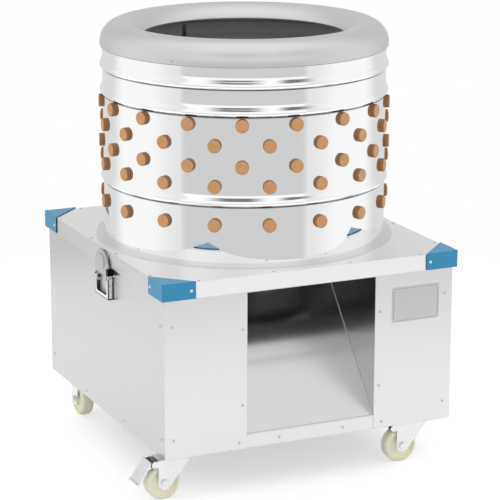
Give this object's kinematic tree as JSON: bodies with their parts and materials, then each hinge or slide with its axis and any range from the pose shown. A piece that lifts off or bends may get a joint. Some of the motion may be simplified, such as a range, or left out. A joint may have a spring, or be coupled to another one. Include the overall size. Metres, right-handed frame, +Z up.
{
  "type": "poultry plucker",
  "caption": "Drum poultry plucker: finger-studded steel drum over a spinning finger plate, on a wheeled cabinet with a feather chute and a hinged, latched lid.",
  "frame": {"origin": "on the floor, below the drum's axis", "axes": "+X to the right along the front, +Y to the back, +Z up along the drum's axis"},
  "size_m": [0.7602, 0.6984, 0.935],
  "materials": {
    "satin_sheet": "satin stainless sheet",
    "polished_sheet": "mirror-polished stainless sheet",
    "frame_steel": "mill-finish stainless angle",
    "zinc_steel": "bright zinc plate",
    "bright_steel": "turned bright steel",
    "cast_iron": "machined grey iron",
    "motor_paint": "blue-grey enamel",
    "black_rubber": "black rubber",
    "finger_rubber": "tan natural rubber",
    "blue_cap": "blue moulded plastic",
    "nylon_wheel": "cream nylon",
    "grey_plastic": "dark grey moulding",
    "black_plastic": "black moulding",
    "green_button": "green button",
    "red_button": "red button"
  },
  "bodies": {
    "base": {"bottom_frame": "frame_steel", "corner_posts": "frame_steel", "top_frame": "frame_steel", "left_panel": "satin_sheet", "right_panel": "satin_sheet", "back_panel": "satin_sheet", "front_left_panel": "satin_sheet", "front_right_panel": "satin_sheet", "front_sill": "satin_sheet", "front_header": "satin_sheet", "chute_floor": "satin_sheet", "chute_sides": "satin_sheet", "drum_floor": "satin_sheet", "lid_seal": "black_rubber", "panel_screws": "bright_steel", "bearing_bridge": "frame_steel", "bearing_housing": "cast_iron", "shaft_bearings": "bright_steel", "motor": "motor_paint", "motor_bridge": "frame_steel", "drive_belt": "black_rubber", "switch_box": "grey_plastic", "cable_gland": "black_plastic", "latch_base": "zinc_steel", "hinge_leaves": "zinc_steel", "caster_plates": "zinc_steel", "rear_forks": "zinc_steel"},
    "drum_lid": {"lid": "satin_sheet", "corner_caps": "blue_cap", "cap_rivets": "bright_steel", "drum_flange": "satin_sheet", "drum_shell": "polished_sheet", "top_ring": "polished_sheet", "finger_row_a": "finger_rubber", "finger_row_b": "finger_rubber", "finger_row_c": "finger_rubber", "finger_row_d": "finger_rubber", "finger_row_e": "finger_rubber", "latch_keeper": "zinc_steel", "lid_hinge_leaves": "zinc_steel"},
    "rotor": {"rotor_shaft": "bright_steel", "rotor_hub": "cast_iron", "rotor_plate": "satin_sheet", "rotor_fingers": "finger_rubber", "rotor_nut": "bright_steel", "driven_pulley": "cast_iron"},
    "motor_drive": {"motor_pulley": "cast_iron"},
    "latch_lever": {"latch_lever": "zinc_steel"},
    "latch_claw": {"latch_claw": "zinc_steel"},
    "start_button": {"start_button": "green_button"},
    "stop_button": {"stop_button": "red_button"},
    "left_caster": {"left_fork": "zinc_steel"},
    "right_caster": {"right_fork": "zinc_steel"},
    "left_brake": {"left_pedal": "zinc_steel"},
    "right_brake": {"right_pedal": "zinc_steel"},
    "front_left_wheel": {"front_wheel_left": "nylon_wheel"},
    "front_right_wheel": {"front_wheel_right": "nylon_wheel"},
    "rear_left_wheel": {"rear_wheel_left": "nylon_wheel"},
    "rear_right_wheel": {"rear_wheel_right": "nylon_wheel"}
  },
  "joints": [
    {"name": "lid_open", "type": "hinge", "parent": "base", "child": "drum_lid", "pos_m": [0.341, 0, 0.433], "axis": [0, 1, 0], "range_deg": [0, 90]},
    {"name": "rotor_spin", "type": "hinge", "parent": "base", "child": "rotor", "pos_m": [0, 0, 0.45], "axis": [0, 0, 1], "continuous": true},
    {"name": "motor_spin", "type": "hinge", "parent": "base", "child": "motor_drive", "pos_m": [0, 0.19, 0.36], "axis": [0, 0, 1], "continuous": true},
    {"name": "latch_lever_flip", "type": "hinge", "parent": "base", "child": "latch_lever", "pos_m": [-0.3355, -0.02, 0.411], "axis": [0, 1, 0], "range_deg": [0, 110]},
    {"name": "latch_claw_swing", "type": "hinge", "parent": "latch_lever", "child": "latch_claw", "pos_m": [-0.3375, -0.02, 0.399], "axis": [0, 1, 0], "range_deg": [-110, 0]},
    {"name": "start_press", "type": "slide", "parent": "base", "child": "start_button", "axis": [-1, 0, 0], "range_m": [0, 0.003], "stiffness_N_per_m": 400},
    {"name": "stop_press", "type": "slide", "parent": "base", "child": "stop_button", "axis": [-1, 0, 0], "range_m": [0, 0.003], "stiffness_N_per_m": 400},
    {"name": "left_swivel", "type": "hinge", "parent": "base", "child": "left_caster", "pos_m": [-0.277, -0.286, 0.09], "axis": [0, 0, 1], "continuous": true},
    {"name": "right_swivel", "type": "hinge", "parent": "base", "child": "right_caster", "pos_m": [0.277, -0.286, 0.09], "axis": [0, 0, 1], "continuous": true},
    {"name": "left_brake_tilt", "type": "hinge", "parent": "left_caster", "child": "left_brake", "pos_m": [-0.339, -0.286, 0.0797], "axis": [0, 1, 0], "range_deg": [0, 57]},
    {"name": "right_brake_tilt", "type": "hinge", "parent": "right_caster", "child": "right_brake", "pos_m": [0.215, -0.286, 0.0797], "axis": [0, 1, 0], "range_deg": [-57, 0]},
    {"name": "front_left_roll", "type": "hinge", "parent": "left_caster", "child": "front_left_wheel", "pos_m": [-0.317, -0.286, 0.0375], "axis": [0, 1, 0], "continuous": true},
    {"name": "front_right_roll", "type": "hinge", "parent": "right_caster", "child": "front_right_wheel", "pos_m": [0.237, -0.286, 0.0375], "axis": [0, 1, 0], "continuous": true},
    {"name": "rear_left_roll", "type": "hinge", "parent": "base", "child": "rear_left_wheel", "pos_m": [-0.277, 0.286, 0.0375], "axis": [1, 0, 0], "continuous": true},
    {"name": "rear_right_roll", "type": "hinge", "parent": "base", "child": "rear_right_wheel", "pos_m": [0.277, 0.286, 0.0375], "axis": [1, 0, 0], "continuous": true}
  ],
  "couplings": [
    {"joint": "motor_spin", "follows": "rotor_spin", "ratio": 3.2143},
    {"joint": "latch_claw_swing", "follows": "latch_lever_flip", "ratio": -1}
  ]
}
